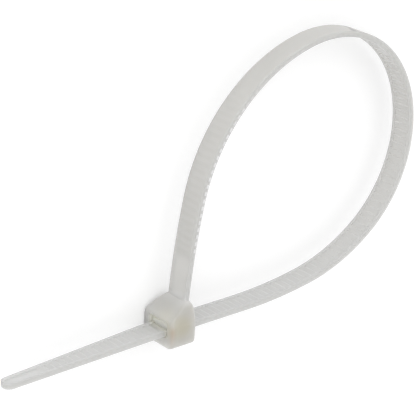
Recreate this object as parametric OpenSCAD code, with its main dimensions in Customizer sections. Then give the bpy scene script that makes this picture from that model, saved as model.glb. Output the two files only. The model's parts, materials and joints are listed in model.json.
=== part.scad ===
// A one-piece ratchet cable tie, closed into a loose drop-shaped loop.
// The toothed strap leaves the head at its neck, turns round, and passes
// through the slot in the head, where the pawl's teeth sit in its notches.
// Millimetres. The strap stands on edge: its width runs along Z, the slot
// runs along X with the tail towards -X, and the neck points along +Y.

/* [Strap] */
// Width of the strap over its two rails
strap_w = 4.5; // [4:0.1:5]
// Thickness of the strap over its rails
strap_t = 1.05; // [0.95:0.05:1.2]
// Thickness of the web between the rails
web_t = 0.6; // [0.5:0.05:0.7]
// Width of each rail beside the teeth
rail_w = 0.55; // [0.4:0.05:0.8]
// Size of the rounding along the strap's outer edges
edge_round = 0.2; // [0.1:0.05:0.25]
// Size of the rounding along the rails' tops
rail_round = 0.12; // [0.05:0.01:0.15]

/* [Teeth] */
// Distance from one tooth to the next
tooth_pitch = 1.28; // [1.1:0.02:1.4]
// How far the tooth tops stay below the rails
tooth_drop = 0.06; // [0.04:0.01:0.1]
// Share of the pitch that the flat top of a tooth takes
tooth_land = 0.16; // [0.1:0.02:0.24]
// Share of the pitch that the flat floor between two teeth takes
tooth_floor = 0.16; // [0.1:0.02:0.24]
// Length of strap beside the neck that has no teeth
blank_at_neck = 5; // [3:0.5:12]
// Length of tail before the tip that has no teeth
blank_at_tip = 8; // [6:0.5:12]

/* [Loop] */
// Inner radius of the bend nearest to the slot
lead_bend_r = 89; // [80:1:98]
// Turn of the bend nearest to the slot, in degrees
lead_bend_turn = 10; // [9:0.1:11]
// Inner radius of the bend before the far end
side_bend_r = 32.2; // [30:0.1:34]
// Turn of the bend before the far end, in degrees
side_bend_turn = 28.4; // [27:0.1:30]
// Inner radius of the far end, where a bundle seats
far_bend_r = 21.8; // [21:0.1:22.5]
// Turn of the far end, in degrees
far_bend_turn = 154.3; // [152:0.1:156]
// Turn of the bend after the far end, in degrees
back_bend_turn = 66.7; // [65.5:0.1:68]
// Inner radius of the slight bend above the neck
base_bend_r = 145; // [125:1:165]
// Straight length just above the neck
base_run = 1.95; // [1:0.05:4]
// Lean of the strap at the neck towards the loop, in degrees
neck_lean = 4.4; // [3.5:0.1:5.5]

/* [Tail] */
// Length of the tail from the head's exit face to the tip
tail_len = 32.5; // [28:0.1:38]
// Length of tail beside the head that keeps the strap's full width and bends down
tail_full = 2.5; // [2:0.1:6]
// Turn of that bend, in degrees
tail_droop = 2.1; // [1:0.1:4]
// Width of the tail where its round tip starts
tip_w = 2.7; // [2.3:0.1:3]

/* [Head] */
// Size of the head along the slot
head_depth = 5.45; // [5.3:0.05:5.9]
// Size of the head across the strap
head_w = 7.9; // [7.4:0.1:8.4]
// Head below the strap's inner face in the slot
head_below = 3.2; // [2.8:0.1:3.6]
// Head above the strap's inner face, at the exit face
head_above = 2.35; // [2.2:0.05:2.8]
// Height of the full width above the strap's inner face
cheek_top = 1.2; // [0.8:0.1:1.8]
// Rise of the neck above the exit face's top edge
neck_rise = 2.35; // [2:0.05:2.8]
// Depth of the strap's inner face behind the entry face at the neck
neck_inset = 0.53; // [0.4:0.01:0.7]
// Height of the slope from the entry face up to the neck
entry_slope = 0.9; // [0.6:0.1:1.2]
// Size of the rounding at the head's lower corners
corner_round = 1.1; // [0.6:0.1:1.4]
// Size of the rounding along the head's upright edges
upright_round = 0.4; // [0.2:0.1:0.6]

/* [Slot and pawl] */
// Clearance between the strap and the slot, on each side
slot_clear = 0.15; // [0.1:0.01:0.2]
// Size of the flare at the slot's entry
slot_flare = 0.5; // [0.3:0.05:0.6]
// Clearance between the pawl's teeth and the strap's teeth
pawl_clear = 0.08; // [0.05:0.01:0.1]
// Clearance between the pawl's teeth and the rails, on each side
pawl_side = 0.2; // [0.15:0.01:0.3]
// Gap between the pawl's body and its room, on each side
room_side = 0.2; // [0.15:0.01:0.3]
// Number of teeth on the pawl
pawl_teeth = 2; // [1:1:2]
// Depth of the pawl's free end behind the exit face
pawl_inset = 0.55; // [0.4:0.05:0.8]
// Thickness of the pawl above the strap's rails
pawl_t = 0.95; // [0.8:0.05:1.1]
// Gap between the pawl's last tooth and its hinge
hinge_gap = 0.35; // [0.25:0.05:0.45]
// Length of the pawl's hinge
hinge_len = 0.65; // [0.5:0.05:0.8]
// Thickness of the pawl's hinge
hinge_t = 0.5; // [0.4:0.05:0.6]
// Size of the slant at the pawl's free end
pawl_slant = 0.2; // [0.1:0.05:0.3]
// Gap above the pawl that lets it lift
pawl_lift = 0.6; // [0.45:0.05:0.7]
// Size of the slant in the upper corner of the pawl's room
recess_slant = 0.4; // [0.2:0.05:0.5]

/* [Hidden] */
$fn = 180;

nylon = [0.81, 0.81, 0.79];
full_turn = 360;
right_angle = 90;
embed = 0.1;
root_cover = 0.05;
taper_step = 0.02;
neck_root = 0.7;
band_len = 0.3;
band_rise = 0.01;
tip_lap = 3;
shoulder_steps = 6;
corner_steps = 3;
half_w = strap_w / 2;
channel_w = strap_w - 2 * rail_w;
channel_d = strap_t - web_t;

// Neck, measured from the exit face and from the strap's inner face in the slot
neck_x = head_depth - neck_inset;
neck_y = head_above + neck_rise;

// Headings where one bend ends and the next starts, from the slot round to the neck
heading_1 = lead_bend_turn;
heading_2 = heading_1 + side_bend_turn;
heading_3 = heading_2 + far_bend_turn;
heading_4 = heading_3 + back_bend_turn;
heading_5 = full_turn - right_angle - neck_lean;

// Offset that a bend of radius 1 makes between two headings
function bend_step(from, to) = [sin(to) - sin(from), cos(from) - cos(to)];

// The radius after the far end and the run before the slot close the loop on the neck
other_bends = lead_bend_r * bend_step(0, heading_1)
    + side_bend_r * bend_step(heading_1, heading_2)
    + far_bend_r * bend_step(heading_2, heading_3)
    + base_bend_r * bend_step(heading_4, heading_5)
    + base_run * [cos(heading_5), sin(heading_5)];
back_step = bend_step(heading_3, heading_4);
back_bend_r = (neck_y - other_bends[1]) / back_step[1];
lead_run = neck_x - other_bends[0] - back_bend_r * back_step[0];

// One row per bend: inner radius, first heading, last heading
bends = [
    [lead_bend_r, 0, heading_1],
    [side_bend_r, heading_1, heading_2],
    [far_bend_r, heading_2, heading_3],
    [back_bend_r, heading_3, heading_4],
    [base_bend_r, heading_4, heading_5],
];
last_bend = len(bends) - 1;

function bend_len(bend) = bend[0] * (bend[2] - bend[1]) * PI / 180;
function outward(heading) = [cos(heading - right_angle), sin(heading - right_angle)];

// Where each bend starts on the strap's inner face, and its centre
bend_starts = [
    for (i = 0, p = [lead_run, 0]; i <= last_bend;
        p = p + bends[i][0] * bend_step(bends[i][1], bends[i][2]), i = i + 1) p
];
bend_centres = [
    for (i = [0:last_bend]) bend_starts[i] - bends[i][0] * outward(bends[i][1])
];
bend_marks = [
    for (i = 0, mark = lead_run; i <= last_bend; mark = mark + bend_len(bends[i]), i = i + 1) mark
];
base_start = bend_starts[last_bend]
    + base_bend_r * bend_step(heading_4, heading_5);
strap_end_mark = bend_marks[last_bend] + bend_len(bends[last_bend]);

// Bend that a place on the strap falls in, counted along the strap from the exit face
function bend_at(mark) = max([for (i = [0:last_bend]) if (mark >= bend_marks[i]) i]);

// Bend of the tail beside the head, round a centre under it
droop_r = tail_full / tail_droop * 180 / PI;
droop_end = droop_r * [-sin(tail_droop), cos(tail_droop) - 1];

// Point at a given depth below the rails, at a given length along the strap
function strap_point(mark, depth) =
    mark < 0 ? tail_point(depth, min(-mark, tail_full), max(0, -mark - tail_full))
    : mark <= lead_run ? [mark, -depth]
    : bend_point(mark, depth, bend_at(mark));
function tail_point(depth, bent, straight) =
    let (turn = bent / tail_full * tail_droop)
    [0, -droop_r] + (droop_r - depth) * [-sin(turn), cos(turn)]
        - straight * [cos(turn), sin(turn)];
function bend_point(mark, depth, i) =
    bend_centres[i] + (bends[i][0] + depth)
        * outward(bends[i][1] + (mark - bend_marks[i]) / bends[i][0] * 180 / PI);

// Tooth marks: each one is a steep face that looks back along the strap to the neck
first_face = pawl_inset;
faces_on_tail = floor((tail_len - blank_at_tip + first_face) / tooth_pitch);
faces_on_loop = floor((strap_end_mark - blank_at_neck - first_face) / tooth_pitch);
face_marks = [for (i = [-faces_on_tail:faces_on_loop]) first_face + i * tooth_pitch];
first_full_mark = tooth_pitch - tail_full;
tail_face_marks = [for (mark = face_marks) if (mark < first_full_mark) mark];
loop_face_marks = [for (mark = face_marks) if (mark >= first_full_mark) mark];

// Tail beyond its bend: each side edge is straight and meets the round tip as a tangent
tip_r = tip_w / 2;
straight_len = tail_len - tail_full;
tip_x = tip_r - straight_len;
taper_half = half_w - taper_step;
taper_len = straight_len - tip_r;
tail_row_lap = 3 * tooth_pitch;
taper_reach = norm([taper_len, taper_half]);
taper_angle = atan2(taper_half, taper_len) - asin(tip_r / taper_reach);
taper_side = sqrt(taper_reach * taper_reach - tip_r * tip_r);

// Slot and pawl: the pawl's body spans the slot, and its teeth fit between the rails
slot_w = strap_w + 2 * slot_clear;
pawl_w = slot_w - 2 * room_side;
teeth_w = channel_w - 2 * pawl_side;
recess_top = pawl_t + pawl_lift;
teeth_end_x = first_face + pawl_teeth * tooth_pitch + pawl_clear;
hinge_x = teeth_end_x - pawl_clear + hinge_gap;
recess_root_x = hinge_x + hinge_len;

// Model box and its shift to the middle of the underside
far_centre = bend_centres[2];
far_reach = far_bend_r + strap_t;
tip_reach = straight_len * cos(tail_droop) - droop_end[0];
model_shift = [
    (tip_reach - far_centre[0] - far_reach) / 2,
    (head_below - far_centre[1] - far_reach) / 2,
    head_w / 2,
];

// Corner cut in a few steps, close to a quarter round of the given size
function quarter(corner, size, from) = [
    for (step = [0:corner_steps])
        let (turn = from + right_angle * step / corner_steps)
        corner + size * [cos(turn), sin(turn)]
];

// Section of the strap: depth from the rails along x, width along y
module strap_section(grow = 0) {
    top = -grow;
    back = strap_t + grow;
    side = half_w + grow;
    ledge = channel_d - grow;
    rail = half_w - rail_w - grow;
    polygon(concat(
        quarter([back - edge_round, side - edge_round], edge_round, 0),
        [[top + rail_round, side], [top, side - rail_round]],
        [[top, rail + rail_round], [top + rail_round, rail], [ledge, rail]],
        [[ledge, -rail], [top + rail_round, -rail], [top, -rail - rail_round]],
        [[top, rail_round - side], [top + rail_round, -side]],
        quarter([back - edge_round, edge_round - side], edge_round, 3 * right_angle)
    ));
}

// Straight strap from a point on its inner face, along a heading
module strap_run(start, heading, length, grow = 0) {
    translate([start[0], start[1], 0])
        rotate([right_angle, 0, heading - right_angle])
            mirror([0, 0, 1])
                linear_extrude(length)
                    strap_section(grow);
}

// Thin band over the line where two bends meet
module strap_band(start, heading) {
    back = band_len / 2 * [cos(heading), sin(heading)];
    strap_run(start - back, heading, band_len, band_rise);
}

// One bend of the strap
module strap_bend(i) {
    translate([bend_centres[i][0], bend_centres[i][1], 0])
        rotate_extrude(angle = bends[i][2] - bends[i][1], start = bends[i][1] - right_angle)
            translate([bends[i][0], 0])
                strap_section();
}

// Side view of one tooth, from just inside the web up to its top and down its ramp
ramp_slope = (1 - tooth_floor - tooth_land) * tooth_pitch / (channel_d - tooth_drop);
ramp_foot = (1 - tooth_floor) * tooth_pitch + root_cover * ramp_slope;
function tooth_outline(mark) = [
    strap_point(mark, channel_d + root_cover),
    strap_point(mark, tooth_drop),
    strap_point(mark - tooth_land * tooth_pitch, tooth_drop),
    strap_point(mark - ramp_foot, channel_d + root_cover),
];

// Teeth between the rails, rooted in the web
module tooth_row(marks, width) {
    count = len(marks);
    tops = [for (i = [count - 1:-1:0]) each tooth_outline(marks[i])];
    roots = [
        for (i = [0:count])
            strap_point(marks[0] + (i - 1) * tooth_pitch, channel_d + root_cover + embed)
    ];
    linear_extrude(width, center = true)
        polygon(concat(tops, roots));
}

// One edge of the tail's section: depth along x, width inwards along -y
module tail_edge_section(reach, grow = 0) {
    top = -grow;
    back = strap_t + grow;
    ledge = channel_d - grow;
    rail = -rail_w - grow;
    polygon(concat(
        quarter([back - edge_round, grow - edge_round], edge_round, 0),
        [[top + rail_round, grow], [top, grow - rail_round]],
        [[top, rail + rail_round], [top + rail_round, rail]],
        [[ledge, rail], [ledge, -reach], [back, -reach]]
    ));
}

// The tail's own place beyond its bend
module tail_place() {
    translate([droop_end[0], droop_end[1], 0])
        rotate([0, 0, tail_droop])
            children();
}

// Bend of the tail beside the head, at the full width
module tail_bend() {
    translate([0, -droop_r, 0])
        rotate_extrude(angle = tail_droop, start = right_angle)
            translate([droop_r, 0])
                mirror([1, 0])
                    strap_section();
}

// Tapered side of the tail, from the full width to the tip
module tail_side() {
    translate([0, 0, taper_half])
        rotate([0, -taper_angle, 0])
            rotate([right_angle, 0, -right_angle])
                linear_extrude(taper_side)
                    tail_edge_section(taper_half);
}

// Round tip of the tail, with the rail carried round it
module tail_tip() {
    tip_start = right_angle + taper_angle - tip_lap;
    tip_turn = full_turn - 2 * tip_start;
    translate([tip_x, 0, 0])
        rotate([right_angle, 0, 0])
            rotate_extrude(angle = tip_turn, start = tip_start)
                translate([tip_r, 0])
                    mirror([1, -1])
                        tail_edge_section(tip_r - taper_step, band_rise);
    translate([tip_x, band_rise - strap_t, 0])
        rotate([-right_angle, 0, 0])
            cylinder(h = web_t - 2 * band_rise, r = tip_r - rail_w);
}

// Outline between the tail's rails, seen along its thickness
module tail_channel_outline() {
    inset = rail_w - embed;
    full = half_w - inset;
    slim = tip_r - inset;
    polygon([
        [tail_row_lap, full],
        [0, full],
        [tip_x, slim],
        [tip_x, -slim],
        [0, -full],
        [tail_row_lap, -full],
    ]);
}

// Bent and tapered tail with its rails and teeth
module tail() {
    tail_bend();
    strap_band([0, 0], 0);
    tail_place() {
        strap_band([0, 0], 0);
        tail_side();
        mirror([0, 0, 1])
            tail_side();
        tail_tip();
    }
    intersection() {
        tooth_row(tail_face_marks, strap_w);
        tail_place()
            rotate([right_angle, 0, 0])
                linear_extrude(strap_t)
                    tail_channel_outline();
    }
}

// Strap from the exit face, through the slot, round the loop and into the neck
module loop_strap() {
    strap_run([0, 0], 0, lead_run);
    for (i = [0:last_bend]) {
        strap_bend(i);
        strap_band(bend_starts[i], bends[i][1]);
    }
    strap_band(base_start, heading_5);
    strap_run(base_start, heading_5, base_run + neck_rise + neck_root);
    tooth_row(loop_face_marks, channel_w + 2 * embed);
}

// Side view of the head: the gusset climbs from the exit face to the strap
module head_side() {
    polygon([
        [0, -head_below],
        [head_depth, -head_below],
        [head_depth, neck_y - entry_slope],
        [neck_x - embed, neck_y],
        [neck_x - strap_t + embed, neck_y],
        [0, head_above],
    ]);
}

// Curve from the full width up to the neck, on the side given by 1 or -1
function shoulder(side, steps) = [
    for (i = steps)
        let (share = i / shoulder_steps)
        [
            cheek_top + share * (neck_y - cheek_top),
            side * (half_w - embed + (head_w / 2 - half_w + embed) * sqrt(1 - share))
        ]
];

// Front view of the head: height along x, width along y
module head_front() {
    half = head_w / 2;
    low = corner_round - head_below;
    polygon(concat(
        quarter([low, corner_round - half], corner_round, 2 * right_angle),
        shoulder(-1, [0:shoulder_steps]),
        shoulder(1, [shoulder_steps:-1:0]),
        quarter([low, half - corner_round], corner_round, right_angle)
    ));
}

// Top view of the head: depth along x, width along y
module head_top() {
    half = head_w / 2 - upright_round;
    deep = head_depth - upright_round;
    polygon(concat(
        quarter([deep, half], upright_round, 0),
        quarter([upright_round, half], upright_round, right_angle),
        quarter([upright_round, -half], upright_round, 2 * right_angle),
        quarter([deep, -half], upright_round, 3 * right_angle)
    ));
}

module head_block() {
    intersection() {
        linear_extrude(head_w, center = true)
            head_side();
        rotate([right_angle, 0, right_angle])
            linear_extrude(head_depth)
                head_front();
        translate([0, neck_y, 0])
            rotate([right_angle, 0, 0])
                linear_extrude(neck_y + head_below)
                    head_top();
    }
}

// Slot for the strap, flared at the entry
module slot_cut() {
    low = -strap_t - slot_clear;
    wide = slot_w / 2;
    flare_x = head_depth - 2 * slot_flare;
    past = head_depth + embed;
    linear_extrude(slot_w, center = true)
        polygon([
            [-embed, low],
            [flare_x, low],
            [past, low - slot_flare],
            [past, slot_clear + slot_flare],
            [flare_x, slot_clear],
            [-embed, slot_clear],
        ]);
    translate([0, slot_clear, 0])
        rotate([right_angle, 0, 0])
            linear_extrude(slot_clear - low)
                polygon([
                    [flare_x, -wide],
                    [past, -wide - slot_flare],
                    [past, wide + slot_flare],
                    [flare_x, wide],
                ]);
}

// Room for the pawl, open towards the exit face
module recess_cut() {
    linear_extrude(slot_w, center = true)
        polygon([
            [-embed, 0],
            [recess_root_x, 0],
            [recess_root_x, recess_top - recess_slant],
            [recess_root_x - recess_slant, recess_top],
            [-embed, recess_top],
        ]);
}

// Pawl: a finger hinged at the entry side, with teeth that fill the strap's notches
function pawl_tooth(mark) = [
    [mark + pawl_clear, pawl_clear - channel_d],
    [mark + tooth_floor * tooth_pitch, pawl_clear - channel_d],
    [mark + (1 - tooth_land) * tooth_pitch, pawl_clear - tooth_drop],
    [mark + tooth_pitch + pawl_clear, pawl_clear - tooth_drop],
];

module pawl() {
    teeth = [for (i = [0:pawl_teeth - 1]) each pawl_tooth(first_face + i * tooth_pitch)];
    free_x = first_face + pawl_clear;
    root_x = recess_root_x + embed;
    linear_extrude(teeth_w, center = true)
        polygon(concat(
            [[free_x, pawl_clear + embed]],
            teeth,
            [[teeth_end_x, pawl_clear + embed]]
        ));
    linear_extrude(pawl_w, center = true)
        polygon([
            [free_x, pawl_t - pawl_slant],
            [free_x, pawl_clear],
            [teeth_end_x, pawl_clear],
            [hinge_x, pawl_t - hinge_t],
            [root_x, pawl_t - hinge_t],
            [root_x, pawl_t],
            [free_x + pawl_slant, pawl_t],
        ]);
}

module head() {
    difference() {
        head_block();
        slot_cut();
        recess_cut();
    }
    pawl();
}

module cable_tie() {
    color(nylon)
        translate(model_shift) {
            loop_strap();
            tail();
            head();
        }
}

cable_tie();
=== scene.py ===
"""A one-piece nylon cable tie, closed into a loose drop-shaped loop.

The toothed strap leaves the head at its neck, turns round and passes through the slot in
the head, where the pawl sits in its notches. The strap is a section carried along a path
of arcs, the head is a stack of rounded rings, and both are fused into one closed surface.
Lengths are in metres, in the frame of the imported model.
"""

import json
import logging
from dataclasses import dataclass, field
from enum import Enum

import bmesh
import bpy
import numpy as np
from mathutils import Matrix, Vector
from numpy.typing import NDArray


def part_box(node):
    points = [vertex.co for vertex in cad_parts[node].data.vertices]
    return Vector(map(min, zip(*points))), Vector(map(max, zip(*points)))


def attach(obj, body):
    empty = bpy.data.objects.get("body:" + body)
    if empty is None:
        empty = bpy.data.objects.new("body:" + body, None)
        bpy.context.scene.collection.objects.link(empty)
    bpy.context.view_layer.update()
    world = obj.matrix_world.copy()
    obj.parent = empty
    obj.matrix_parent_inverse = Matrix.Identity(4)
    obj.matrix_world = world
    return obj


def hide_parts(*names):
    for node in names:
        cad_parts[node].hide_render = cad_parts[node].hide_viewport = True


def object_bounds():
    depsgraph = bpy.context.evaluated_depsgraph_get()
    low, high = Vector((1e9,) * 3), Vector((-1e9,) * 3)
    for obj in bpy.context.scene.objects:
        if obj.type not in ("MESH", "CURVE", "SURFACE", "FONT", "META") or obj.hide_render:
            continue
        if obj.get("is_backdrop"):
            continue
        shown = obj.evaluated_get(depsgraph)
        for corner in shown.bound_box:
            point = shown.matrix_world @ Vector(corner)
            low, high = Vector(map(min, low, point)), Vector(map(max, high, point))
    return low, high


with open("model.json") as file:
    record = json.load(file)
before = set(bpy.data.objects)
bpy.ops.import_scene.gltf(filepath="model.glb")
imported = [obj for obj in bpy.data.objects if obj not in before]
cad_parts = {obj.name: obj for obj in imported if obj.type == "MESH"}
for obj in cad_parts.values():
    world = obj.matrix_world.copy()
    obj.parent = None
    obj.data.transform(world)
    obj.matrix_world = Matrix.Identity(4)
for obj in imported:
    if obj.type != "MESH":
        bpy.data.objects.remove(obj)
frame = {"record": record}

Array = NDArray[np.float64]
Colour = tuple[float, float, float, float]
Socket = bpy.types.NodeSocket
MM = 0.001
NODE = "cable_tie"
BODY = "root"
ARC_POINTS = 9
SMALL_ARC_POINTS = 5
FLAT_POINTS = 8
WALL_STEPS = 8
SHOULDER_STEPS = 22
TIP_STEPS = 14
NECK_ROWS = 12
QUARTER = np.pi / 2
FULL_TURN = 2 * np.pi
WELD = 0.001 * MM
log = logging.getLogger("cable_tie")


class Cut(Enum):
    """Ways to combine two closed surfaces."""

    JOIN = "UNION"
    TAKE_AWAY = "DIFFERENCE"


def steps(start: float, end: float, count: int) -> Array:
    """Evenly spaced values from start up to, but without, end.

    Args:
        start: First value.
        end: Value that the row stops short of.
        count: Number of values.

    Returns:
        The values.
    """
    return np.linspace(start, end, count, endpoint=False)


def quarter(count: int) -> Array:
    """Angles from zero to a right angle.

    Args:
        count: Number of angles.

    Returns:
        The angles, in radians.
    """
    return np.linspace(0, QUARTER, count)


def draw_in(distance: Array, size: float) -> Array:
    """How far a quarter round draws in at a distance from the end of its face.

    Args:
        distance: Distances from the end.
        size: Radius of the round.

    Returns:
        Nothing beyond the round, and the full radius at the end.
    """
    missing = size - np.clip(distance, 0, size)
    return size - np.sqrt(size**2 - missing**2)


def closed_object(name: str, points: Array, faces: list[tuple[int, ...]]) -> bpy.types.Object:
    """A mesh object from loose grids: doubles are merged and the faces turned outwards.

    Args:
        name: Name of the object.
        points: Places of the corners, one row each.
        faces: Corner numbers of each face.

    Returns:
        The object, linked to the scene, with its place in its mesh.
    """
    mesh = bpy.data.meshes.new(name)
    mesh.from_pydata(points, [], faces)
    shell = bmesh.new()
    shell.from_mesh(mesh)
    bmesh.ops.remove_doubles(shell, verts=shell.verts, dist=WELD)
    bmesh.ops.recalc_face_normals(shell, faces=shell.faces)
    if shell.calc_volume(signed=True) < 0:
        bmesh.ops.reverse_faces(shell, faces=shell.faces)
    shell.to_mesh(mesh)
    shell.free()
    obj = bpy.data.objects.new(name, mesh)
    bpy.context.scene.collection.objects.link(obj)
    return obj


def grid_faces(rows: int, columns: int, ring: bool, first: int = 0) -> list[tuple[int, ...]]:
    """Quads over a grid of points.

    Args:
        rows: Number of rows.
        columns: Number of points in a row.
        ring: True where each row closes on itself.
        first: Number of the grid's first point.

    Returns:
        Corner numbers of each quad.
    """
    row = np.arange(rows - 1)[:, None] * columns
    column = np.arange(columns if ring else columns - 1)[None, :]
    after = (column + 1) % columns
    quads = np.stack([row + column, row + after, row + columns + after, row + columns + column], -1)
    return [tuple(quad) for quad in (quads.reshape(-1, 4) + first).tolist()]


def combine(obj: bpy.types.Object, other: bpy.types.Object, how: Cut) -> None:
    """Joins another closed surface to an object or takes it away, and deletes the other.

    Args:
        obj: Object that is kept.
        other: Object that is used up.
        how: Whether it is joined or taken away.
    """
    boolean = obj.modifiers.new("combine", "BOOLEAN")
    boolean.operation = how.value
    boolean.solver = "MANIFOLD"
    boolean.object = other
    bpy.context.view_layer.update()
    evaluated = obj.evaluated_get(bpy.context.evaluated_depsgraph_get())
    made = bpy.data.meshes.new_from_object(evaluated)
    obj.modifiers.clear()
    used = obj.data
    obj.data = made
    bpy.data.meshes.remove(used)
    bpy.data.objects.remove(other)


@dataclass
class StrapPath:
    """Line of the strap's inner face in the plane of the loop, from the tail's tip to the neck.

    Marks are lengths along the strap, counted from the head's exit face. The line is a row
    of stretches that each have one curvature, and the stretch after the far end closes the
    loop on the neck.
    """

    neck: tuple[float, float]
    neck_root: float
    lead_radius: float = 89 * MM
    lead_turn: float = np.radians(10)
    side_radius: float = 32.2 * MM
    side_turn: float = np.radians(28.4)
    far_radius: float = 21.8 * MM
    far_turn: float = np.radians(154.3)
    back_turn: float = np.radians(66.7)
    base_radius: float = 145 * MM
    base_run: float = 1.95 * MM
    neck_lean: float = np.radians(4.4)
    tail_length: float = 32.5 * MM
    tail_full: float = 2.5 * MM
    tail_droop: float = np.radians(2.1)
    thickness: float = 1.05 * MM
    least_curve: float = 0.001
    marks: Array = field(init=False)
    headings: Array = field(init=False)
    curvatures: Array = field(init=False)
    points: Array = field(init=False)
    far_centre: Array = field(init=False)

    def __post_init__(self) -> None:
        """Works out where each stretch starts, from the closing condition of the loop."""
        turns = np.cumsum([0, self.lead_turn, self.side_turn, self.far_turn, self.back_turn])
        last = 3 * QUARTER - self.neck_lean
        headings = np.append(turns, last)
        reach = np.stack([np.diff(np.sin(headings)), -np.diff(np.cos(headings))], -1)
        radii = np.array([self.lead_radius, self.side_radius, self.far_radius, 0, self.base_radius])
        others = radii @ reach + self.base_run * np.array([np.cos(last), np.sin(last)])
        radii[3] = (self.neck[1] - others[1]) / reach[3, 1]
        lead_run = self.neck[0] - others[0] - radii[3] * reach[3, 0]
        tail_straight = self.tail_length - self.tail_full
        base = self.base_run + self.neck_root
        lengths = np.concatenate(
            [[tail_straight, self.tail_full, lead_run], radii * np.diff(headings), [base]]
        )
        bent = -self.tail_droop / self.tail_full
        self.curvatures = np.concatenate([[0, bent, 0], 1 / radii, [0]])
        self.marks = np.concatenate([[0], np.cumsum(lengths)]) - self.tail_length
        turned = np.cumsum(self.curvatures * lengths)
        self.headings = np.concatenate([[0], turned[:-1]]) + self.tail_droop
        self.points = np.zeros((len(lengths), 2))
        chords = self._chord(lengths, np.arange(len(lengths)))
        self.points[1:] = np.cumsum(chords, axis=0)[:-1]
        self.points -= self.points[2]
        start = self.points[5]
        inward = np.array([-np.sin(self.headings[5]), np.cos(self.headings[5])])
        self.far_centre = start + self.far_radius * inward

    @property
    def end_mark(self) -> float:
        """Mark of the strap's end inside the head."""
        return self.marks[-1]

    @property
    def bends_end(self) -> float:
        """Mark where the last bend ends, just above the neck."""
        return self.marks[-2]

    def _chord(self, lengths: Array, stretch: NDArray[np.int64]) -> Array:
        """Steps from the starts of stretches to places past them.

        Args:
            lengths: Lengths past the starts.
            stretch: Numbers of the stretches.

        Returns:
            The steps: length times sinc of half the turn, along the middle heading.
        """
        turn = self.curvatures[stretch] * lengths
        middle = self.headings[stretch] + turn / 2
        chord = lengths * np.sinc(turn / FULL_TURN)
        return chord[..., None] * np.stack([np.cos(middle), np.sin(middle)], -1)

    def place(self, marks: Array, depths: Array) -> Array:
        """Points at given marks, at given depths below the rails' tops.

        Args:
            marks: Lengths along the strap.
            depths: Distances from the inner face towards the back.

        Returns:
            Places in the plane of the loop, with one more axis of two values.
        """
        last = len(self.points) - 1
        stretch = np.clip(np.searchsorted(self.marks, marks, "right") - 1, 0, last)
        past = marks - self.marks[stretch]
        heading = self.headings[stretch] + self.curvatures[stretch] * past
        outward = np.stack([np.sin(heading), -np.cos(heading)], -1)
        return self.points[stretch] + self._chord(past, stretch) + depths[..., None] * outward

    def locate(self, places: Array) -> tuple[Array, Array, Array]:
        """Marks and depths of places in the plane of the loop, on the stretch that fits best.

        Args:
            places: Places, one row each.

        Returns:
            Marks, depths below the rails' tops, and distances from the strap's body.
        """
        curve = np.where(self.curvatures == 0, self.least_curve, self.curvatures)
        ahead = np.stack([np.cos(self.headings), np.sin(self.headings)], -1)
        inward = np.stack([-ahead[:, 1], ahead[:, 0]], -1)
        away = places[:, None] - self.points[None]
        sine = curve * (away * ahead).sum(-1)
        cosine = 1 - curve * (away * inward).sum(-1)
        past = np.arctan2(sine, cosine) / curve
        depth = (np.hypot(sine, cosine) - 1) / curve
        missed = np.abs(past - np.clip(past, 0, np.diff(self.marks)))
        missed += np.abs(depth - np.clip(depth, 0, self.thickness))
        best = missed.argmin(1)[:, None]
        mark = self.marks[best] + np.take_along_axis(past, best, 1)
        picked = [mark, np.take_along_axis(depth, best, 1), np.take_along_axis(missed, best, 1)]
        return tuple(values[:, 0] for values in picked)


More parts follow.
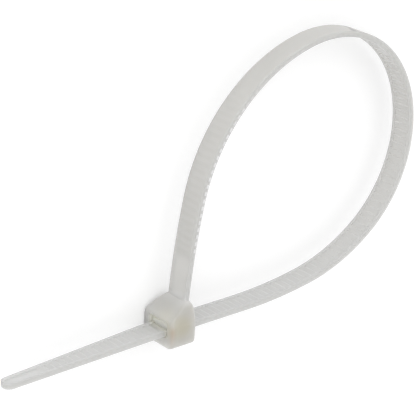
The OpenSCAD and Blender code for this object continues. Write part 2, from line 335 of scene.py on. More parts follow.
@dataclass
class Strap:
    """Toothed strap with two rails, tapered to a round tip."""

    path: StrapPath
    width: float = 4.5 * MM
    web: float = 0.6 * MM
    rail: float = 0.55 * MM
    edge_round: float = 0.2 * MM
    rail_round: float = 0.1 * MM
    pitch: float = 1.28 * MM
    tooth_drop: float = 0.06 * MM
    tooth_land: float = 0.16
    tooth_floor: float = 0.16
    tooth_round: float = 0.025
    face_share: float = 0.2
    first_face: float = 0.55 * MM
    blank_at_neck: float = 5 * MM
    blank_at_tip: float = 8 * MM
    tip_width: float = 2.7 * MM
    plain_step: float = 0.9 * MM
    side_rows: Array = field(default_factory=lambda: np.array([0.6, 0.35]))
    on_strap: float = 0.02 * MM
    # Painted shade line along two edges, and a painted shadow stroke across the back.
    shade_line_width: float = 0.35 * MM
    shade_line_share: float = 0.6
    turn_mark: float = 98.5 * MM
    shadow_stroke_mark: float = 98.5 * MM
    shadow_stroke_slant: float = 0.41
    shadow_stroke_half: float = 0.6 * MM
    shadow_stroke_share: float = 0.75

    @property
    def thickness(self) -> float:
        """Thickness over the rails."""
        return self.path.thickness

    @property
    def channel(self) -> float:
        """Depth of the channel between the rails."""
        return self.thickness - self.web

    @property
    def tip_radius(self) -> float:
        """Radius of the round tip."""
        return self.tip_width / 2

    @property
    def tip_mark(self) -> float:
        """Mark of the round tip's centre."""
        return self.tip_radius - self.path.tail_length

    @property
    def toothed(self) -> tuple[float, float]:
        """Marks of the first tooth's foot and of the last tooth's steep face."""
        low = np.ceil((self.blank_at_tip - self.path.tail_length - self.first_face) / self.pitch)
        high = np.floor((self.path.bends_end - self.blank_at_neck - self.first_face) / self.pitch)
        foot = self.first_face + (low - 1 + self.tooth_floor) * self.pitch
        return foot, self.first_face + high * self.pitch

    def tooth_profile(self) -> tuple[Array, Array]:
        """Outline of one tooth: floor, ramp, land and steep face.

        Returns:
            Shares of the pitch after a steep face, and the depth there.
        """
        soft = self.tooth_round
        bite = 2 * soft * (self.channel - self.tooth_drop)
        shares = [
            soft * self.face_share,
            soft,
            self.tooth_floor - soft,
            self.tooth_floor + soft,
            1 - self.tooth_land - soft,
            1 - self.tooth_land + soft,
            1 - soft,
            1 - soft * self.face_share,
        ]
        low, high = self.channel, self.tooth_drop
        depths = [low - bite, low, low, low - bite / 2, high + bite / 2, high, high, high + bite]
        return np.array(shares), np.array(depths)

    def floor_depth(self, marks: Array) -> Array:
        """Depth of the channel's floor or of the tooth's surface.

        Args:
            marks: Lengths along the strap.

        Returns:
            Depths below the rails' tops.
        """
        shares, depths = self.tooth_profile()
        share = (marks - self.first_face) / self.pitch % 1
        low, high = self.toothed
        depth = np.interp(share, shares, depths, period=1)
        return np.where((marks > low) & (marks < high), depth, self.channel)

    def row_marks(self) -> Array:
        """Marks of the rows: every corner of every tooth, and even steps where there are none."""
        low, high = self.toothed
        shares, _ = self.tooth_profile()
        teeth = np.arange(round((low - self.first_face) / self.pitch - 1), (high / self.pitch) + 1)
        corners = (self.first_face + (teeth[:, None] + shares[None, :]) * self.pitch).ravel()
        corners = corners[(corners > low) & (corners < high + self.pitch * self.tooth_round)]
        neck = np.linspace(corners[-1] + self.pitch / 2, self.path.end_mark, NECK_ROWS)
        count = int((corners[0] - self.tip_mark) / self.plain_step)
        return np.concatenate([steps(self.tip_mark, corners[0], count), corners, neck])

    def half_section(self) -> tuple[Array, Array, Array, NDArray[np.bool_]]:
        """Half of the strap's section, from the middle of the back round the rail to the channel.

        A point's distance in from the edge is a fixed length plus a share of what is left up
        to the middle. Its depth is fixed too, but no deeper than the floor once past the rail.

        Returns:
            Fixed lengths, shares, depths, and whether a point is held by the floor.
        """
        edge, soft, rail = self.edge_round, self.rail_round, self.rail
        deep = self.thickness
        flat = np.zeros(FLAT_POINTS)
        none = np.zeros(SMALL_ARC_POINTS)
        across = np.linspace(0, 1, FLAT_POINTS)
        turn = quarter(SMALL_ARC_POINTS)
        bulge, rise = np.sin(turn), 1 - np.cos(turn)
        parts = [
            (flat[1:] + edge, (1 - across)[:-1], flat[1:] + deep, False),
            (edge - edge * bulge, none, deep - edge * rise, False),
            (flat[:2], flat[:2], deep * self.side_rows, False),
            (soft * rise, none, soft - soft * bulge, False),
            (flat[:1] + rail / 2, flat[:1], flat[:1], False),
            (rail - soft + soft * bulge, none, soft * rise, True),
            (flat[:1] + rail, flat[:1], flat[:1] + deep, True),
            (flat[1:] + rail, across[1:], flat[1:] + deep, True),
        ]
        held = np.concatenate([np.full(len(part[0]), part[3]) for part in parts])
        fixed, shares, depths = (np.concatenate([part[i] for part in parts]) for i in range(3))
        return fixed, shares, depths, held

    @property
    def taper(self) -> float:
        """Angle that each side edge of the tail makes with its middle line."""
        straight, half = -self.path.tail_full - self.tip_mark, self.width / 2
        return np.arctan2(half, straight) - np.arcsin(self.tip_radius / np.hypot(straight, half))

    def half_width(self, marks: Array) -> Array:
        """Half of the strap's width, up to the round tip.

        Args:
            marks: Lengths along the strap.

        Returns:
            The half widths.
        """
        past = np.clip(-self.path.tail_full - marks, 0, None)
        return self.width / 2 - past * np.tan(self.taper)

    def half_grid(self) -> tuple[Array, Array, Array]:
        """Marks, depths and heights above the middle plane of one half of the strap.

        Each row of the grid crosses the strap along the edge's normal. Beyond the last tooth
        the rows turn with the taper's angle, and round the tip they turn about its centre.
        """
        tip, taper = self.tip_radius, self.taper
        rows = self.row_marks()
        turned = np.clip((self.toothed[0] - rows) / (self.toothed[0] - self.tip_mark), 0, 1) * taper
        reach = self.half_width(rows) / np.cos(turned)
        reach[0] = tip
        round_turn = steps(QUARTER, taper, TIP_STEPS)
        turn = np.concatenate([round_turn, turned])[:, None]
        reach = np.concatenate([np.full(len(round_turn), tip), reach])[:, None]
        middle = np.concatenate([np.full(len(round_turn), self.tip_mark), rows])[:, None]
        fixed, shares, depths, held = self.half_section()
        left = reach - fixed - shares * (reach - fixed)
        marks = middle - left * np.sin(turn)
        deep = np.where(held, np.minimum(depths, self.floor_depth(marks)), depths)
        return marks, deep, left * np.cos(turn)

    def build(self) -> bpy.types.Object:
        """Builds the strap's closed surface.

        Returns:
            The strap, as a mesh object in the head's own frame.
        """
        marks, depths, heights = self.half_grid()
        plane = self.path.place(marks, depths)
        upper = np.concatenate([plane, heights[..., None]], -1).reshape(-1, 3)
        lower = upper * [1, 1, -1]
        rows, columns = marks.shape
        faces = grid_faces(rows, columns, ring=False)
        faces += [face[::-1] for face in grid_faces(rows, columns, False, len(upper))]
        last = np.arange((rows - 1) * columns, rows * columns)
        faces.append(tuple(last.tolist() + (last[-2:0:-1] + len(upper)).tolist()))
        return closed_object("strap", np.concatenate([upper, lower]), faces)

    def outline(self, mark: Array, depth: Array, height: Array, inset: Array) -> Array:
        """How dark places are on the fine line along two of the strap's four edges.

        The line is painted shade. It runs along the other two edges past the far end of the loop,
        where there is also a short painted shadow stroke across the back.

        Args:
            mark: Lengths along the strap.
            depth: Depths below the rails' tops.
            height: Heights above the middle plane.
            inset: Distances in from the strap's edge.

        Returns:
            Shares of the painted shade's colour.
        """
        # Painted shade line: on the rail tops on one side and on the back on the other, swapping past
        # turn_mark.
        changed = np.sign(height) * np.sign(mark - self.turn_mark)
        face = np.where(changed > 0, 0, self.thickness)
        near_edge = np.clip(1 - inset / self.shade_line_width, 0, 1)
        line = near_edge * np.clip(1 - np.abs(depth - face) / self.edge_round, 0, 1)
        # Painted shadow stroke across the back, slanted across the width.
        away = np.abs(mark - self.shadow_stroke_mark - self.shadow_stroke_slant * height)
        back = np.clip(1 - (self.thickness - depth) / self.edge_round, 0, 1)
        middle = np.clip(inset / self.shade_line_width, 0, 1)
        stroke = middle * back * np.clip((self.shadow_stroke_half - away) / self.edge_round, 0, 1)
        return np.clip(np.maximum(line * self.shade_line_share, stroke * self.shadow_stroke_share), 0, 1)

    def marking(self, places: Array) -> dict[str, Array]:
        """What the finish needs to know about each place on the tie.

        Args:
            places: Places in the head's own frame, one row each.

        Returns:
            The place along the teeth in pitches, whether there are teeth, the depth as a share of
            the thickness, the distance in from the strap's edge in millimetres, the share of painted
            shade on the edge line and stroke, and whether the place is on the strap.
        """
        mark, depth, missed = self.path.locate(places[:, :2])
        low, high = self.toothed
        from_end = np.minimum(mark - low, high - mark)
        inset = self.half_width(mark) - np.abs(places[:, 2])
        round_end = self.tip_radius - np.hypot(mark - self.tip_mark, places[:, 2])
        inset = np.where(mark < self.tip_mark, round_end, inset)
        missed = np.maximum(missed, -inset)
        return {
            "pitches": (mark - self.first_face) / self.pitch,
            "toothed": np.clip(from_end / self.pitch, 0, 1),
            "depth": depth / self.thickness,
            "inset": inset / MM,
            "outline": self.outline(mark, depth, places[:, 2], inset),
            "on_strap": (missed < self.on_strap).astype(float),
        }


@dataclass
class Head:
    """Head of the tie: a rounded block with a slot for the strap and a pawl in its room.

    Its frame has the exit face at x = 0, the strap's inner face in the slot at y = 0, and the
    middle of the strap's width at z = 0.
    """

    width: float
    strap: Strap
    neck: tuple[float, float]
    depth: float = 5.45 * MM
    below: float = 3.2 * MM
    above: float = 2.35 * MM
    cheek_top: float = 1.2 * MM
    entry_slope: float = 0.9 * MM
    embed: float = 0.1 * MM
    corner_round: float = 1.1 * MM
    upright_round: float = 0.55 * MM
    base_round: float = 0.3 * MM
    blend: float = 0.35 * MM
    slot_clear: float = 0.15 * MM
    slot_round: float = 0.15 * MM
    slot_flare: float = 0.5 * MM
    mouth_round: float = 0.12 * MM
    room_side: float = 0.2 * MM
    room_round: float = 0.4 * MM
    pawl_clear: float = 0.08 * MM
    pawl_side: float = 0.2 * MM
    pawl_teeth: int = 2
    pawl_thickness: float = 0.95 * MM
    pawl_round: float = 0.08 * MM
    pawl_slant: float = 0.2 * MM
    hinge_gap: float = 0.35 * MM
    hinge_length: float = 0.65 * MM
    hinge_thickness: float = 0.5 * MM
    lift: float = 0.6 * MM
    edge_reach: float = 1.0 * MM

    @property
    def slot_half(self) -> float:
        """Half of the width of the slot and of the pawl's room."""
        return self.strap.width / 2 + self.slot_clear

    @property
    def slot_low(self) -> float:
        """Height of the slot's floor."""
        return -self.strap.thickness - self.slot_clear

    @property
    def room_top(self) -> float:
        """Height of the top of the pawl's room."""
        return self.pawl_thickness + self.lift

    @property
    def hinge(self) -> float:
        """Place along the slot where the pawl's hinge starts."""
        return self.strap.first_face + self.pawl_teeth * self.strap.pitch + self.hinge_gap

    @property
    def room_end(self) -> float:
        """Place along the slot where the pawl's room ends and its hinge is rooted."""
        return self.hinge + self.hinge_length

    def ring(self, low: Array, high: Array, half: Array, radius: Array) -> Array:
        """Rounded rectangles, one a row: four quarter circles with straight runs between them.

        Args:
            low: Lowest value on the first axis, one for each ring.
            high: Highest value on the first axis.
            half: Half of the size along the second axis.
            radius: Radius of the corners.

        Returns:
            Places on the two axes, one row of points for each ring.
        """
        corners = [(1, 1), (-1, 1), (-1, -1), (1, -1)]
        middle, reach = (low + high) / 2, (high - low) / 2 - radius
        arcs = []
        for number, (side, up) in enumerate(corners):
            angle = number * QUARTER + quarter(ARC_POINTS)
            first = (middle + side * reach)[:, None] + radius[:, None] * np.cos(angle)
            second = (up * (half - radius))[:, None] + radius[:, None] * np.sin(angle)
            arcs.append(np.stack([first, second], -1))
        runs = []
        between = np.linspace(0, 1, FLAT_POINTS)[1:-1][None, :, None]
        for arc, following in zip(arcs, arcs[1:] + arcs[:1]):
            runs += [arc, arc[:, -1:] * (1 - between) + following[:, :1] * between]
        return np.concatenate(runs, 1)

    def loft(self, name: str, rings: Array, along: Array, order: tuple[int, ...]) -> bpy.types.Object:
        """A closed surface over a stack of rings, with a flat cap at both ends.

        Args:
            name: Name of the object.
            rings: Places of the rings on their two axes.
            along: Place of each ring on the third axis.
            order: Which of the two ring axes and the third makes x, y and z.

        Returns:
            The object.
        """
        rows, columns = rings.shape[:2]
        third = np.broadcast_to(along[:, None, None], (rows, columns, 1))
        points = np.concatenate([rings, third], -1)[..., list(order)].reshape(-1, 3)
        faces = grid_faces(rows, columns, ring=True)
        faces.append(tuple(range(columns))[::-1])
        faces.append(tuple(range((rows - 1) * columns, rows * columns)))
        return closed_object(name, points, faces)

    def soft_line(self, heights: Array, corners: list[tuple[float, float]]) -> Array:
        """Values along a line through corners, softened over the blend length on both sides.

        Args:
            heights: Heights to read the line at.
            corners: Height and value of each corner.

        Returns:
            The values.
        """
        knots = np.array(corners)
        shifts = np.linspace(-self.blend, self.blend, ARC_POINTS)
        spread = heights[:, None] + shifts[None, :]
        return np.interp(spread, knots[:, 0], knots[:, 1]).mean(1)

    def faces(self, heights: Array) -> tuple[Array, Array]:
        """Places of the exit face and of the entry face along the slot.

        Args:
            heights: Heights to read them at.

        Returns:
            Places of the exit face, and of the entry face.
        """
        top = self.neck[1]
        far = top + self.blend
        back = self.neck[0] - self.strap.thickness + self.embed
        beyond = back + back / (top - self.above) * self.blend
        exit_line = [(-far, 0), (self.above, 0), (top, back), (far, beyond)]
        entry = self.neck[0] - self.embed
        slope = top - self.entry_slope
        entry_line = [(-far, self.depth), (slope, self.depth), (top, entry), (far, entry)]
        return self.soft_line(heights, exit_line), self.soft_line(heights, entry_line)

    def sides(self, heights: Array) -> Array:
        """Half of the head's width.

        Args:
            heights: Heights to read it at.

        Returns:
            The half widths.
        """
        top, half = self.neck[1], self.width / 2
        slim = self.strap.width / 2 - self.embed
        rise = np.clip((heights - self.cheek_top) / (top - self.cheek_top), 0, 1)
        side = np.where(rise > 0, slim + (half - slim) * np.sqrt(1 - rise), half)
        return side - draw_in(heights + self.below, self.corner_round)

    def outer(self) -> bpy.types.Object:
        """The outside: rounded rings from the underside up to the neck.

        The exit and entry faces follow softened lines. The sides are full up to the cheeks,
        then close in on the strap with the square root of the height that is left.
        """
        top = self.neck[1]
        under = self.corner_round * (1 - np.cos(quarter(ARC_POINTS))) - self.below
        walls = steps(under[-1], self.cheek_top, WALL_STEPS)[1:]
        share = 1 - np.linspace(1, 0, SHOULDER_STEPS) ** 2
        shoulder = self.cheek_top + share * (top - self.cheek_top)
        heights = np.concatenate([under, walls, shoulder])
        side = self.sides(heights)
        lip = draw_in(heights + self.below, self.base_round)
        exit_face, entry_face = self.faces(heights)
        corner = np.clip((entry_face - exit_face) / 2 - self.embed, 0, self.upright_round)
        corner = np.minimum(corner, side - self.embed)
        rings = self.ring(exit_face + lip, entry_face - lip, side, corner)
        return self.loft("head", rings, heights, (0, 2, 1))

    def passage(self, name: str, heights: tuple[float, float], end: float, flare: float,
                radius: float) -> bpy.types.Object:
        """A passage from the exit face, with rounded corners and wider open ends.

        Args:
            name: Name of the object.
            heights: Its lowest and its highest height.
            end: Where it ends along x.
            flare: How much wider it gets at its end, or nothing where it is blind.
            radius: Radius of its corners.

        Returns:
            The passage, as a closed surface to cut with.
        """
        turn = quarter(SMALL_ARC_POINTS)
        mouth = self.mouth_round
        inner = self.strap.first_face
        rise, bulge = 1 - np.cos(turn), 1 - np.sin(turn)
        along = [-self.embed, *(mouth * rise), inner, *(end - flare * bulge)]
        wider = [mouth, *(mouth * bulge), 0, *(flare * rise)]
        if flare > 0:
            along.append(end + self.embed)
            wider.append(flare)
        kept = np.append(True, np.diff(along) > WELD)
        places, grown = np.array(along)[kept], np.array(wider)[kept]
        corner = np.full(len(places), radius)
        low, high = heights
        rings = self.ring(low - grown, high + grown, self.slot_half + grown, corner)
        return self.loft(name, rings, places, (2, 0, 1))

    def slab(self, name: str, outline: list[tuple[float, float]], half: float) -> bpy.types.Object:
        """An upright slab over an outline in the plane of the loop, with rounded rims.

        Args:
            name: Name of the object.
            outline: Corners of the outline.
            half: Half of its width.

        Returns:
            The slab.
        """
        flat = np.array(outline)
        turn = quarter(SMALL_ARC_POINTS)
        inset = self.pawl_round * (1 - np.sin(turn))
        edge = half - self.pawl_round * (1 - np.cos(turn))
        away = flat - flat.mean(0)
        outward = away / np.linalg.norm(away, axis=1, keepdims=True)
        insets = np.concatenate([inset, inset[::-1]])
        rings = flat[None] - insets[:, None, None] * outward[None]
        return self.loft(name, rings, np.concatenate([-edge, edge[::-1]]), (0, 1, 2))

    def pawl(self) -> bpy.types.Object:
        """The pawl: a finger hinged at the entry side, with teeth that fill the strap's notches."""
        strap, clear, top = self.strap, self.pawl_clear, self.pawl_thickness
        low, high = clear - strap.channel, clear - strap.tooth_drop
        free = strap.first_face + clear
        end = strap.first_face + self.pawl_teeth * strap.pitch + clear
        teeth = [(free, clear + self.embed)]
        for mark in strap.first_face + np.arange(self.pawl_teeth) * strap.pitch:
            teeth += [
                (mark + clear, low),
                (mark + strap.tooth_floor * strap.pitch, low),
                (mark + (1 - strap.tooth_land) * strap.pitch, high),
                (mark + strap.pitch + clear, high),
            ]
        teeth.append((end, clear + self.embed))
        body = [
            (free, top - self.pawl_slant),
            (free, clear),
            (end, clear),
            (self.hinge, top - self.hinge_thickness),
            (self.room_end + self.embed, top - self.hinge_thickness),
            (self.room_end + self.embed, top),
            (free + self.pawl_slant, top),
        ]
        finger = self.slab("pawl", body, self.slot_half - self.room_side)
        toothed_half = strap.width / 2 - strap.rail - self.pawl_side
        combine(finger, self.slab("pawl_teeth", teeth, toothed_half), Cut.JOIN)
        return finger

    def build(self) -> bpy.types.Object:
        """Builds the head with its slot, the pawl's room and the pawl.

        Returns:
            The head, as a mesh object in its own frame.
        """
        head = self.outer()
        slot_heights = (self.slot_low, self.slot_clear)
        slot = self.passage("slot", slot_heights, self.depth, self.slot_flare, self.slot_round)
        room_heights = (self.slot_low / 2, self.room_top)
        room = self.passage("room", room_heights, self.room_end, 0, self.room_round)
        combine(head, slot, Cut.TAKE_AWAY)
        combine(head, room, Cut.TAKE_AWAY)
        combine(head, self.pawl(), Cut.JOIN)
        return head

    def marking(self, places: Array) -> dict[str, Array]:
        """What the finish needs to know about places on the head.

        Args:
            places: Places in the head's own frame, one row each.

        Returns:
            From 0 to 1, how near they are to the neck's joint or the lower edge of the exit
            face, for painted light, to the flat sides, to the upper edges, and to the front part of
            the upper edge at the exit face, for painted shade, and how far they are inside the
            hollows, for painted light and glow.
        """
        exit_face, entry_face = self.faces(places[:, 1])
        sides = self.sides(places[:, 1]) - np.abs(places[:, 2])
        from_exit = np.maximum(places[:, 0] - exit_face, sides) / self.edge_reach
        from_entry = np.maximum(entry_face - places[:, 0], sides) / self.edge_reach
        height = np.clip((self.room_top - places[:, 1]) / self.corner_round, 0, 1)
        front = np.clip(1 - from_exit, 0, 1)
        upper = np.clip(places[:, 2] / self.width + 0.5, 0, 1)
        lower = np.clip(1 - 2 * upper, 0, 1)
        rise = places[:, 1] + self.below
        joint = np.abs(places[:, 1] - self.neck[1]) + np.clip(places[:, 0] - self.neck[0], 0, None)
        return {
            # pale: painted light; flank, edge and corner: painted shade; hollow: painted light and
            # glow.
            "pale": np.maximum(np.clip(1 - joint / self.edge_reach, 0, 1), front * lower),
            "flank": np.clip(1 - sides / self.upright_round, 0, 1),
            "edge": np.maximum(front, np.clip(1 - from_entry, 0, 1)) * upper,
            "corner": front * height * upper * np.clip(rise / self.below, 0, 1),
            "hollow": self.inside(places),
        }

    def inside(self, places: Array) -> Array:
        """How far inside the slot or the pawl's room places are.

        Args:
            places: Places in the head's own frame, one row each.

        Returns:
            Values from 0 outside to 1 well inside.
        """
        along = np.minimum(places[:, 0], self.depth - places[:, 0])
        height = np.minimum(places[:, 1] - self.slot_low, self.room_top - places[:, 1])
        across = self.slot_half - np.abs(places[:, 2])
        within = np.clip(np.minimum(height, across) / self.room_side + 1, 0, 1)
        return within * np.clip(along / self.strap.first_face, 0, 1)


class Graph:
    """Adds nodes to a material and links them, a line for each node."""

    def __init__(self, material: bpy.types.Material) -> None:
        """Takes over the node tree of a material.

        Args:
            material: Material whose nodes are made.
        """
        material.use_nodes = True
        self.nodes = material.node_tree.nodes
        self.links = material.node_tree.links
        self.shader = self.nodes["Principled BSDF"]

    def fill(self, socket: Socket, value: object) -> None:
        """Links a socket to an output, or sets its value."""
        if isinstance(value, Socket):
            self.links.new(value, socket)
        else:
            socket.default_value = value

    def attribute(self, name: str) -> Socket:
        """Value of a marking of the surface."""
        node = self.nodes.new("ShaderNodeAttribute")
        node.attribute_name = name
        return node.outputs["Fac"]

    def sums(self, operation: str, *values: object) -> Socket:
        """Result of a sum on one value or on two."""
        node = self.nodes.new("ShaderNodeMath")
        node.operation = operation
        for socket, value in zip(node.inputs, values):
            self.fill(socket, value)
        return node.outputs[0]

    def ease(self, value: Socket, start: float, end: float) -> Socket:
        """Rises smoothly from 0 at the start to 1 at the end, whichever of them is larger."""
        node = self.nodes.new("ShaderNodeMapRange")
        node.interpolation_type = "SMOOTHSTEP"
        node.inputs["From Min"].default_value = start
        node.inputs["From Max"].default_value = end
        self.fill(node.inputs["Value"], value)
        return node.outputs["Result"]

    def both(self, *values: object) -> Socket:
        """Product of several values."""
        product = values[0]
        for value in values[1:]:
            product = self.sums("MULTIPLY", product, value)
        return product

    def vector(self, operation: str, *values: object) -> Socket:
        """Result of a sum on one vector or on two."""
        node = self.nodes.new("ShaderNodeVectorMath")
        node.operation = operation
        for socket, value in zip(node.inputs, values):
            self.fill(socket, value)
        return node.outputs["Value" if operation == "LENGTH" else "Vector"]

    def mix(self, share: object, first: object, second: object, how: str = "MIX") -> Socket:
        """Colour between two colours, or between the first and their product."""
        node = self.nodes.new("ShaderNodeMix")
        node.data_type = "RGBA"
        node.blend_type = how
        self.fill(node.inputs["Factor"], share)
        self.fill(node.inputs["A"], first)
        self.fill(node.inputs["B"], second)
        return node.outputs["Result"]

    def noise(self, place: Socket, scale: float) -> Socket:
        """Cloudy noise at a scale."""
        node = self.nodes.new("ShaderNodeTexNoise")
        node.inputs["Scale"].default_value = scale
        self.links.new(place, node.inputs["Vector"])
        return node.outputs["Fac"]


@dataclass(frozen=True)
class MilkyNylon:
    """Milky nylon that lets light through.

    The strap has painted shade along its rims and on a fine edge line, with a painted shadow
    stroke across its back, painted light where light comes through its notches and its thin web,
    and painted light and shade on its steep tooth faces. The head is warmer round the pawl, with
    painted shade on its flat sides, upper edges and front corner, and painted light at the neck's
    joint and along the exit face's lower edge. Its hollows are painted pale and glow faintly, as
    painted light for the light that reaches them through the walls.
    """

    name: str = "milky_nylon"
    colour: Colour = (0.46, 0.456, 0.44, 1)
    deep_colour: Colour = (0.435, 0.431, 0.415, 1)
    cool_colour: Colour = (0.46, 0.462, 0.46, 1)
    neck_colour: Colour = (0.428, 0.425, 0.41, 1)
    # Painted shade colour for the strap's rims, and for steep tooth faces near the tail.
    rim_shade_colour: Colour = (0.39, 0.39, 0.38, 1)
    # Colour of the painted shade line and shadow stroke.
    shade_line_colour: Colour = (0.16, 0.16, 0.18, 1)
    light_colour: Colour = (0.66, 0.66, 0.66, 1)
    head_colour: Colour = (0.55, 0.545, 0.525, 1)
    # Painted shade on the head's flat sides, which are also warmer.
    flank_shade_colour: Colour = (0.465, 0.457, 0.432, 1)
    edge_shade_colour: Colour = (0.43, 0.426, 0.402, 1)
    corner_shade_colour: Colour = (0.4, 0.335, 0.285, 1)
    warm_tint: Colour = (0.99, 0.962, 0.85, 1)
    painted_light_strength: float = 0.5
    # Painted light: pale colour and a faint glow for the hollows.
    hollow_light_colour: Colour = (0.95, 0.94, 0.83, 1)
    hollow_light: float = 0.055
    spread: tuple[float, float, float] = (1.0, 0.98, 0.94)
    spread_scale: float = 5 * MM
    roughness: float = 0.42
    refraction: float = 1.53
    cloud_scale: float = 140
    grain_scale: float = 2500
    grain_strength: float = 0.15
    grain_depth: float = 0.02 * MM
    side: tuple[float, float] = (0.3, 0.05)
    rim_shade_strength: float = 0.8
    rung: tuple[float, float] = (-0.6, 0.4)
    rail: tuple[float, float] = (0.5, 0.7)
    notch_depth: tuple[float, float] = (0.62, 0.48)
    notch_edge: tuple[float, float] = (0.1, 0.28)
    notch_light_strength: float = 0.9
    ladder_light_strength: float = 0.08
    steep: tuple[float, float] = (0.985, 0.9995)
    steep_inset: tuple[float, float] = (0.5, 0.6)
    steep_depth: tuple[float, float] = (0.6, 0.5)
    steep_reach: tuple[float, float] = (42, 56)
    steep_light_and_shade_strength: float = 0.45
    back: tuple[float, float] = (0.8, 0.97)
    fade: tuple[float, float] = (92, 105)
    fade_share: float = 0.08
    tint: tuple[float, float] = (10, 80)
    neck_tint: tuple[float, float] = (98, 115)
    warm_reach: tuple[float, float] = (1.0, 0.45)
    warm_size: tuple[float, float, float] = (3.7 * MM, 3.1 * MM, 4.6 * MM)

    def strap_shade(self, graph: Graph, clouds: Socket) -> Socket:
        """Colour of the strap: rims, notches seen through the rails, and a faint ladder.

        Args:
            graph: Graph of the material.
            clouds: Noise that the strap's two tones follow.

        Returns:
            The colour.
        """
        inset, depth = graph.attribute("inset"), graph.attribute("depth")
        pitches, toothed = graph.attribute("pitches"), graph.attribute("toothed")
        turn = graph.both(graph.sums("FRACT", pitches), FULL_TURN)
        rung = graph.both(graph.ease(graph.sums("COSINE", turn), *self.rung), toothed)
        near_neck = graph.sums("MAXIMUM", graph.ease(pitches, *self.fade), self.fade_share)
        shade = graph.mix(clouds, self.colour, self.deep_colour)
        shade = graph.mix(graph.ease(pitches, *self.tint), self.cool_colour, shade)
        shade = graph.mix(graph.ease(pitches, *self.neck_tint), shade, self.neck_colour)
        # Painted shade: darker along the strap's rims and side faces.
        side = graph.both(graph.ease(inset, *self.side), self.rim_shade_strength)
        shade = graph.mix(side, shade, self.rim_shade_colour)
        # Painted shade line along the edges and painted shadow stroke across the back.
        shade = graph.mix(graph.attribute("outline"), shade, self.shade_line_colour)
        # Painted light: lighter dots on the rail sides where light comes through the notches.
        rail_side = graph.both(graph.ease(inset, *self.side), graph.ease(depth, *self.notch_depth))
        off_edge = graph.ease(depth, *self.notch_edge)
        notch = graph.both(rung, rail_side, off_edge, near_neck, self.notch_light_strength)
        shade = graph.mix(notch, shade, self.light_colour)
        # Painted shade on the steep tooth faces towards the tail, painted light on them further on.
        steep = graph.both(graph.ease(graph.sums("COSINE", turn), *self.steep), toothed)
        steep = graph.both(steep, graph.ease(depth, *self.steep_depth), self.steep_light_and_shade_strength)
        steep = graph.both(steep, graph.ease(inset, *self.steep_inset))
        tone = graph.mix(graph.ease(pitches, *self.steep_reach), self.rim_shade_colour, self.light_colour)
        shade = graph.mix(steep, shade, tone)
        # Painted light: a faint lighter ladder on the back where light comes through the thin web.
        back = graph.both(graph.ease(inset, *self.rail), graph.ease(depth, *self.back))
        ladder = graph.both(rung, back, near_neck, self.ladder_light_strength)
        return graph.mix(ladder, shade, self.light_colour)

    def head_shade(self, graph: Graph, place: Socket, core: Vector) -> Socket:
        """Colour of the head: its flat sides, its edges, and a warm cloud round the pawl.

        Args:
            graph: Graph of the material.
            place: Object coordinates.
            core: Middle of the warm cloud.

        Returns:
            The colour.
        """
        away = graph.vector("SUBTRACT", place, core)
        away = graph.vector("DIVIDE", away, self.warm_size)
        away = graph.vector("LENGTH", away)
        # Painted shade: the flat sides darker, and warmer.
        shade = graph.mix(graph.attribute("flank"), self.head_colour, self.flank_shade_colour)
        # Painted shade over the highlight along the upper edges.
        shade = graph.mix(graph.attribute("edge"), shade, self.edge_shade_colour)
        # Painted shade: a dark reddish streak down the front corner of the upper side.
        shade = graph.mix(graph.attribute("corner"), shade, self.corner_shade_colour)
        return graph.mix(graph.ease(away, *self.warm_reach), shade, self.warm_tint, "MULTIPLY")

    def make(self, core: Vector) -> bpy.types.Material:
        """Makes the material.

        Args:
            core: Middle of the warm cloud round the pawl.

        Returns:
            The material, with its clouds and grain in Object coordinates.
        """
        material = bpy.data.materials.new(self.name)
        graph = Graph(material)
        values = graph.shader.inputs
        values["Roughness"].default_value = self.roughness
        values["IOR"].default_value = self.refraction
        values["Subsurface Weight"].default_value = 1.0
        values["Subsurface Radius"].default_value = self.spread
        values["Subsurface Scale"].default_value = self.spread_scale
        place = graph.nodes.new("ShaderNodeTexCoord").outputs["Object"]
        strap = self.strap_shade(graph, graph.noise(place, self.cloud_scale))
        head = self.head_shade(graph, place, core)
        hollow = graph.attribute("hollow")
        whole = graph.mix(graph.attribute("on_strap"), head, strap)
        # Painted light: the hollows are made pale.
        whole = graph.mix(hollow, whole, self.hollow_light_colour)
        # Painted light at the neck's joint and along the exit face's lower edge, where shade would
        # fall.
        pale = graph.both(graph.attribute("pale"), self.painted_light_strength)
        whole = graph.mix(pale, whole, self.light_colour)
        graph.links.new(whole, values["Base Color"])
        # Painted light: a faint glow in the hollows, though no lamp is there.
        values["Emission Color"].default_value = self.hollow_light_colour
        graph.fill(values["Emission Strength"], graph.both(hollow, self.hollow_light))
        bump = graph.nodes.new("ShaderNodeBump")
        bump.inputs["Strength"].default_value = self.grain_strength
        bump.inputs["Distance"].default_value = self.grain_depth
        graph.links.new(graph.noise(place, self.grain_scale), bump.inputs["Height"])
        graph.links.new(bump.outputs["Normal"], values["Normal"])
        return material


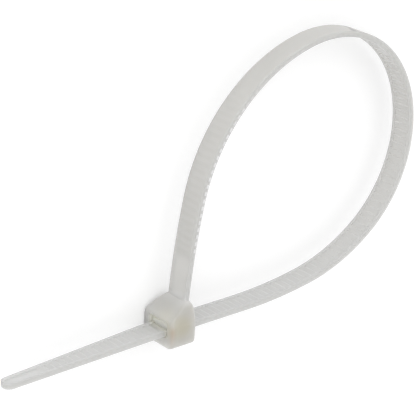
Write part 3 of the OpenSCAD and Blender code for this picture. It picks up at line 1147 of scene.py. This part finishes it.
@dataclass
class CableTie:
    """The whole tie: strap and head fused into one closed surface."""

    width: float
    seat: tuple[float, float]
    neck: tuple[float, float] = (4.92 * MM, 4.7 * MM)
    neck_root: float = 3.05 * MM
    crease: float = np.radians(60)
    core: tuple[float, float, float] = (2.1 * MM, 0.6 * MM, 1.6 * MM)
    strap_hollow_light_share: float = 0.75
    finish: MilkyNylon = MilkyNylon()

    def mark(self, tie: bpy.types.Object, strap: Strap, head: Head) -> None:
        """Stores the markings of the strap and of the head on the surface.

        Args:
            tie: Tie, still in the head's own frame.
            strap: Its strap.
            head: Its head.
        """
        mesh = tie.data
        flat = np.empty(3 * len(mesh.vertices))
        mesh.vertices.foreach_get("co", flat)
        places = flat.reshape(-1, 3)
        markings = strap.marking(places) | head.marking(places)
        # The strap gets less of the hollows' painted light and glow.
        markings["hollow"] *= 1 - (1 - self.strap_hollow_light_share) * markings["on_strap"]
        for name, values in markings.items():
            layer = mesh.attributes.new(name, "FLOAT", "POINT")
            layer.data.foreach_set("value", values.astype(np.float32))

    def build(self) -> bpy.types.Object:
        """Builds and dresses the tie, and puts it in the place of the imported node.

        Returns:
            The finished piece.
        """
        path = StrapPath(neck=self.neck, neck_root=self.neck_root)
        strap = Strap(path=path)
        head = Head(width=self.width, strap=strap, neck=self.neck)
        tie = strap.build()
        combine(tie, head.build(), Cut.JOIN)
        self.mark(tie, strap, head)
        shift = Vector((*(np.array(self.seat) - path.far_centre), self.width / 2))
        tie.data.transform(Matrix.Translation(shift))
        tie.name = "moulded_tie"
        tie.data.name = tie.name
        tie.data.shade_smooth()
        tie.data.set_sharp_from_angle(angle=self.crease)
        tie.data.materials.clear()
        tie.data.materials.append(self.finish.make(shift + Vector(self.core)))
        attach(tie, BODY)
        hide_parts(NODE)
        return tie


@dataclass(frozen=True)
class Studio:
    """A plain pale floor under soft light, with the camera at the photograph's angle."""

    floor_half: float = 1.5
    camera_place: tuple[float, float, float] = (-0.20683, 0.12289, 0.22548)
    camera_back: tuple[float, float, float] = (-0.62525, 0.38403, 0.6794)
    camera_up: tuple[float, float, float] = (0.20914, 0.92116, -0.32821)
    lens: float = 165.64
    clip: tuple[float, float] = (0.01, 10)
    sky: float = 1.0
    floor_colour: float = 0.8
    floor_glow: float = 0.28
    key_place: tuple[float, float, float] = (-0.2, 0.7, 0.35)
    lamp_size: float = 0.5
    key_power: float = 0.9

    def camera(self) -> None:
        """Makes the scene's camera from its place and its own axes."""
        data = bpy.data.cameras.new("camera")
        data.lens = self.lens
        data.clip_start, data.clip_end = self.clip
        camera = bpy.data.objects.new("camera", data)
        back, up = Vector(self.camera_back), Vector(self.camera_up)
        axes = Matrix((up.cross(back), up, back)).transposed()
        camera.matrix_world = Matrix.Translation(self.camera_place) @ axes.to_4x4()
        bpy.context.scene.collection.objects.link(camera)
        bpy.context.scene.camera = camera

    def seen(self, nodes: bpy.types.Nodes, links: bpy.types.NodeLinks) -> Socket:
        """A socket that is 1 for rays that come from the camera, or through or off the object."""
        rays = nodes.new("ShaderNodeLightPath")
        gloss = nodes.new("ShaderNodeMath")
        gloss.operation = "MAXIMUM"
        through = nodes.new("ShaderNodeMath")
        through.operation = "MAXIMUM"
        links.new(rays.outputs["Is Camera Ray"], gloss.inputs[0])
        links.new(rays.outputs["Is Glossy Ray"], gloss.inputs[1])
        links.new(gloss.outputs[0], through.inputs[0])
        links.new(rays.outputs["Is Transmission Ray"], through.inputs[1])
        return through.outputs[0]

    def world(self) -> None:
        """Makes the sky: white where it is seen, and a plain soft light where it lights."""
        world = bpy.data.worlds.new("studio")
        bpy.context.scene.world = world
        world.use_nodes = True
        nodes, links = world.node_tree.nodes, world.node_tree.links
        background = nodes["Background"]
        background.inputs["Color"].default_value = (1, 1, 1, 1)
        level = nodes.new("ShaderNodeMapRange")
        level.inputs["To Min"].default_value = self.sky
        level.inputs["To Max"].default_value = 1.0
        links.new(self.seen(nodes, links), level.inputs["Value"])
        links.new(level.outputs["Result"], background.inputs["Strength"])

    def floor(self, height: float) -> bpy.types.Object:
        """Makes the floor, which shows white and keeps the tie's shadow.

        Args:
            height: Height of the floor.

        Returns:
            The floor.
        """
        half = self.floor_half
        mesh = bpy.data.meshes.new("floor")
        outline = ((-half, -half), (half, -half), (half, half), (-half, half))
        corners = [(x, y, height) for x, y in outline]
        mesh.from_pydata(corners, [], [(0, 1, 2, 3)])
        floor = bpy.data.objects.new("floor", mesh)
        bpy.context.scene.collection.objects.link(floor)
        material = bpy.data.materials.new("pale_floor")
        material.use_nodes = True
        nodes, links = material.node_tree.nodes, material.node_tree.links
        shader = nodes["Principled BSDF"]
        shader.inputs["Base Color"].default_value = (self.floor_colour,) * 3 + (1,)
        shader.inputs["Roughness"].default_value = 1
        shader.inputs["Specular IOR Level"].default_value = 0
        shader.inputs["Emission Color"].default_value = (1, 1, 1, 1)
        glow = nodes.new("ShaderNodeMath")
        glow.operation = "MULTIPLY"
        glow.inputs[1].default_value = self.floor_glow
        links.new(self.seen(nodes, links), glow.inputs[0])
        links.new(glow.outputs[0], shader.inputs["Emission Strength"])
        mesh.materials.append(material)
        floor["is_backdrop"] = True
        return floor

    def lamp(self, name: str, place: Vector, target: Vector, power: float) -> None:
        """Makes a square soft light that faces a target."""
        data = bpy.data.lights.new(name, "AREA")
        data.size = self.lamp_size
        data.energy = power
        lamp = bpy.data.objects.new(name, data)
        lamp.location = place
        lamp.rotation_mode = "QUATERNION"
        lamp.rotation_quaternion = (target - place).to_track_quat("-Z", "Y")
        bpy.context.scene.collection.objects.link(lamp)

    def build(self, height: float, middle: Vector) -> None:
        """Sets the whole stage round the object."""
        scene = bpy.context.scene
        scene.view_settings.view_transform = "Standard"
        self.camera()
        self.world()
        self.floor(height)
        self.lamp("key", middle + Vector(self.key_place), middle, self.key_power)


def main() -> None:
    logging.basicConfig(level=logging.INFO, format="%(name)s: %(message)s")
    low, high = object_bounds()
    node_low, node_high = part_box(NODE)
    seat = frame["record"]["mounts"][0]["pos_m"]
    tie = CableTie(width=node_high.z - node_low.z, seat=(seat[0], seat[1])).build()
    log.info("%s: %d faces", tie.name, len(tie.data.polygons))
    Studio().build(low.z, (low + high) / 2)
    low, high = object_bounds()


if __name__ == "__main__":
    main()
